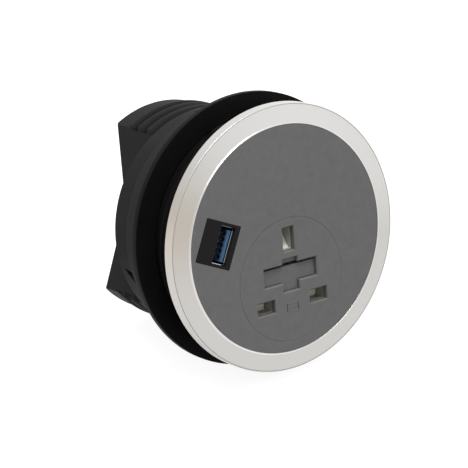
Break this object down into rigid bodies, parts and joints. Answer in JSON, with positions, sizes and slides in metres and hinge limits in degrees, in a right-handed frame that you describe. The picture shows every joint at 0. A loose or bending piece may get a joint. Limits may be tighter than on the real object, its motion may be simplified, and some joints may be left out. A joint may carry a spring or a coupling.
{
  "type": "in-desk power module",
  "caption": "Round power module for a desk hole: bezel, plate with a fused three-pin socket and a USB port, clamp ring, lock nut and barrel.",
  "frame": {"origin": "centre of the bezel's underside, on the desk's top surface and the barrel's axis", "axes": "+Z out of the desk, +Y towards the earth slot, +X to the right seen from the front"},
  "size_m": [0.0956, 0.0956, 0.0717],
  "materials": {
    "bezel_metal": "satin, turned",
    "plate_plastic": "fine satin, mid grey",
    "black_plastic": "satin black",
    "housing_plastic": "moulded dark grey",
    "base_plastic": "moulded dark grey",
    "ivory_plastic": "smooth ivory",
    "contact_brass": "rolled sheet",
    "plated_steel": "zinc plated",
    "spring_steel": "drawn wire",
    "port_chrome": "bright plated",
    "blue_plastic": "smooth blue",
    "gold_plate": "gold plated",
    "board_laminate": "glass laminate",
    "fuse_glass": "clear tube",
    "brown_sleeve": "soft sleeve",
    "blue_sleeve": "soft sleeve",
    "green_sleeve": "soft sleeve"
  },
  "bodies": {
    "module": {"bezel_ring": "bezel_metal", "face_plate": "plate_plastic", "top_frame": "black_plastic", "drum_housing": "housing_plastic", "socket_insert": "plate_plastic", "socket_base": "base_plastic", "live_contact": "contact_brass", "neutral_contact": "contact_brass", "earth_contact": "contact_brass", "fuse_clip_supply": "contact_brass", "fuse_clip_load": "contact_brass", "shutter_spring": "spring_steel", "usb_housing": "black_plastic", "usb_shell": "port_chrome", "usb_tongue": "blue_plastic", "usb_contacts": "gold_plate", "usb_board": "board_laminate", "usb_rear_shell": "port_chrome", "usb_rear_tongue": "blue_plastic", "mains_inlet": "black_plastic", "inlet_pins": "contact_brass", "live_lead": "brown_sleeve", "neutral_lead": "blue_sleeve", "earth_lead": "green_sleeve", "housing_screws": "plated_steel", "insert_screws": "plated_steel"},
    "clamp": {"pressure_ring": "black_plastic"},
    "nut": {"lock_nut": "housing_plastic"},
    "fuse_drawer": {"fuse_carrier": "plate_plastic", "fuse_body": "fuse_glass", "fuse_caps": "plated_steel"},
    "slider": {"shutter": "ivory_plastic"},
    "leaf": {"earth_flap": "ivory_plastic"}
  },
  "joints": [
    {"name": "clamp_travel", "type": "slide", "parent": "module", "child": "clamp", "axis": [0, 0, 1], "range_m": [-0.0075, 0.0095]},
    {"name": "nut_turn", "type": "hinge", "parent": "clamp", "child": "nut", "pos_m": [0, 0, -0.024], "axis": [0, 0, 1], "range_deg": [-157.8, 199.9]},
    {"name": "fuse_pull", "type": "slide", "parent": "module", "child": "fuse_drawer", "axis": [0, 0, 1], "range_m": [0, 0.012]},
    {"name": "shutter_slide", "type": "slide", "parent": "module", "child": "slider", "axis": [0, -1, 0], "range_m": [0, 0.00545], "stiffness_N_per_m": 40, "springref_m": -0.003, "deforming": ["shutter_spring"]},
    {"name": "leaf_swing", "type": "hinge", "parent": "module", "child": "leaf", "pos_m": [0.0008, -0.0053, 0.0015], "axis": [-1, 0, 0], "range_deg": [0, 55]}
  ],
  "couplings": [
    {"joint": "clamp_travel", "follows": "nut_turn", "m_per_rad": 0.0027215},
    {"joint": "leaf_swing", "follows": "shutter_slide", "rad_per_m": 176.11}
  ]
}
